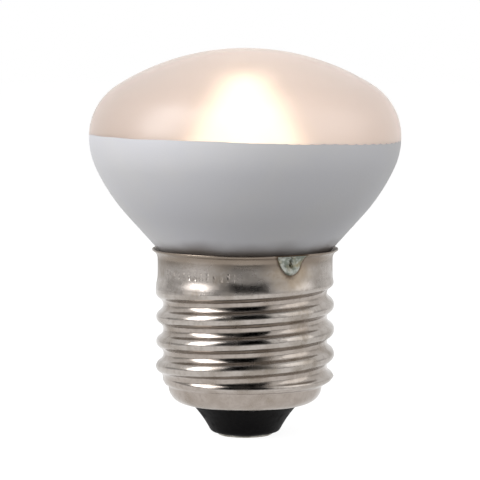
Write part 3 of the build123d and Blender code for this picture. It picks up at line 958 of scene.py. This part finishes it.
# %% Finish: contact metal
contact_metal, tree = finish_of("contact_metal", (0.34, 0.32, 0.28), 0.4, Metallic=1.0)
rubbed = effect(tree, patches, Scale=900.0, Detail=4.0, Low=0.4, High=0.65)
colour = blend_colour(tree, rubbed, (0.36, 0.345, 0.31), (0.22, 0.205, 0.175))
dress(contact_metal, Base_Color=colour, Roughness=blend_value(tree, rubbed, 0.3, 0.5))

# %% The contact disc and its collar
CONTACT_RADIUS = 4.0
CONTACT_BOTTOM = 0.15
COLLAR_TOP = TIP_HEIGHT + 1.6
COLLAR_BORE = 0.6
CONTACT_ROUND = 0.12
disc_centre = (CONTACT_RADIUS - CONTACT_ROUND, CONTACT_BOTTOM + CONTACT_ROUND)
disc_edge = arc(disc_centre, CONTACT_ROUND, -math.pi / 2, 0, 5)
contact_outline = [(COLLAR_BORE, CONTACT_BOTTOM), (2.6, CONTACT_BOTTOM)] + disc_edge
contact_outline += [(CONTACT_RADIUS, TIP_HEIGHT), (BORE, TIP_HEIGHT), (BORE, COLLAR_TOP),
                    (COLLAR_BORE, COLLAR_TOP)]
contact = lathe("contact_disc", contact_outline, 72, contact_metal)
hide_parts("centre_contact")

# %% Finish: fresh solder
bright_solder, tree = finish_of("bright_solder", (0.52, 0.52, 0.51), 0.32, Metallic=1.0)
worn = effect(tree, patches, Scale=1000.0, Detail=4.0, Low=0.4, High=0.65)
colour = blend_colour(tree, worn, (0.42, 0.43, 0.41), (0.28, 0.29, 0.27))
dress(bright_solder, Base_Color=colour, Roughness=blend_value(tree, worn, 0.28, 0.45),
      Normal=bump(tree, worn, 0.02))

# %% The flat bead on the contact
SOLDER_FLAT = 2.2
bead_side = arc((SOLDER_FLAT, CONTACT_BOTTOM), CONTACT_BOTTOM, -math.pi / 2, 0, 5)
solder_outline = [(0.0, 0.0), (0.9, 0.0), (1.7, 0.0)] + bead_side
solder_outline += [(COLLAR_BORE, CONTACT_BOTTOM), (COLLAR_BORE, TIP_HEIGHT), (0.0, TIP_HEIGHT)]
contact_bead = lathe("contact_bead", solder_outline, 60, bright_solder)
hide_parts("contact_solder")

# %% [markdown]
# Inside the bulb the light comes from a tungsten coil between two hooked leads. The CAD holds only the rod
# that the coil fills. Here the wire itself is wound: one helix whose axis is the arch of the coil. It
# glows with its own light, and the mirror film and the etched face do the rest, as in the real lamp.

# %% Finish: glowing tungsten
GLOW = 8.0
glowing, tree = finish_of("glowing_tungsten", (0.3, 0.28, 0.25), 0.4, Metallic=1.0,
                          Emission_Strength=GLOW)
ends = effect(tree, patches, Scale=600.0, Detail=1.0, Low=0.2, High=0.8)
dress(glowing, Emission_Color=blend_colour(tree, ends, (1.0, 0.80, 0.52), (1.0, 0.84, 0.58)))

# %% The coil
COIL_RADIUS = 0.30
WIRE_RADIUS = 0.05
COIL_TURNS = 66
STEPS_A_TURN = 14
WIRE_SIDES = 6
filament_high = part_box("filament")[1]
arch_top = filament_high.z / MM - COIL_RADIUS - WIRE_RADIUS
ARCH_SPAN = 13.0
ARCH_RISE = 3.0
arch_radius = ((ARCH_SPAN / 2) ** 2 + ARCH_RISE**2) / (2 * ARCH_RISE)
arch_turn = math.asin(ARCH_SPAN / 2 / arch_radius)
radial = np.array([math.cos(LEAD_AZIMUTH), math.sin(LEAD_AZIMUTH), 0.0])
upward = np.array([0.0, 0.0, 1.0])
sideways_axis = np.cross(radial, upward)


def coil_line(count):
    """The coil's centre line: a helix wound round the arch."""
    share = np.linspace(0, 1, count)
    lean = (2 * share - 1) * arch_turn
    out = np.outer(np.sin(lean), radial) + np.outer(np.cos(lean), upward)
    middle = out * arch_radius + upward * (arch_top - arch_radius)
    spin = 2 * math.pi * COIL_TURNS * share
    return middle + COIL_RADIUS * (np.cos(spin)[:, None] * out + np.sin(spin)[:, None] * sideways_axis)


def tube(line, radius, sides):
    """Points and faces of a closed tube along a line."""
    ahead = np.gradient(line, axis=0)
    ahead /= np.linalg.norm(ahead, axis=1, keepdims=True)
    first = np.cross(ahead, upward + 0.31 * radial)
    first /= np.linalg.norm(first, axis=1, keepdims=True)
    second = np.cross(ahead, first)
    around = np.linspace(0, 2 * math.pi, sides, endpoint=False)
    rings = [line + radius * (math.cos(a) * first + math.sin(a) * second) for a in around]
    points = np.stack(rings, 1).reshape(-1, 3)
    faces = ring_faces(len(line), sides, closed=False)
    faces += [tuple(range(sides))[::-1], tuple(range(len(points) - sides, len(points)))]
    return points, faces


coil_points, coil_faces = tube(coil_line(COIL_TURNS * STEPS_A_TURN), WIRE_RADIUS, WIRE_SIDES)
coil = mesh_piece("tungsten_coil", coil_points, coil_faces, glowing)
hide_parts("filament")
print("coil of", COIL_TURNS, "turns,", len(coil_faces), "faces")

# %% [markdown]
# The other inner pieces keep their CAD meshes: their forms are plain, and they show only as shadows in
# the lit glass. They still get real finishes, because one can look inside the lamp.

# %% Finishes of the inner pieces
clear_glass, tree = finish_of("clear_glass", (0.96, 0.97, 0.96), 0.03, IOR=1.5, Transmission_Weight=1.0)
seeds = effect(tree, patches, Scale=800.0, Detail=2.0, Low=0.55, High=0.8)
dress(clear_glass, Roughness=blend_value(tree, seeds, 0.02, 0.12))
wires = []
for name, colour, roughness, scale, bright, dark in (
        ("nickel_wire", (0.55, 0.52, 0.48), 0.3, 2500.0, (0.58, 0.55, 0.51), (0.42, 0.38, 0.34)),
        ("molybdenum_wire", (0.35, 0.35, 0.36), 0.4, 3000.0, (0.38, 0.38, 0.39), (0.25, 0.25, 0.26))):
    wire, tree = finish_of(name, colour, roughness, Metallic=1.0)
    drawn = effect(tree, streaks, Scale=scale, Stretch=0.5, Low=0.4, High=0.7)
    dress(wire, Base_Color=blend_colour(tree, drawn, bright, dark))
    wires.append(wire)
cement, tree = finish_of("capping_cement", (0.50, 0.45, 0.38), 0.9)
grit = effect(tree, patches, Scale=2200.0, Detail=6.0, Low=0.35, High=0.65)
colour = blend_colour(tree, grit, (0.56, 0.51, 0.43), (0.38, 0.33, 0.27))
dress(cement, Base_Color=colour, Normal=bump(tree, grit, 0.05))

# %% Dress the CAD pieces that stay
for material, slot, *node_names in ((clear_glass, "stem_glass", "stem_flare", "exhaust_tube"),
                                    (wires[0], "lead_wire", "lead_wire_contact", "lead_wire_rim"),
                                    (wires[1], "support_wire", "filament_support_left",
                                     "filament_support_right"),
                                    (cement, "cement", "capping_cement")):
    for node_name in node_names:
        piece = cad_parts[node_name]
        piece.data.materials.clear()
        piece.data.materials.append(material)
    print(material.name, "on", node_names)
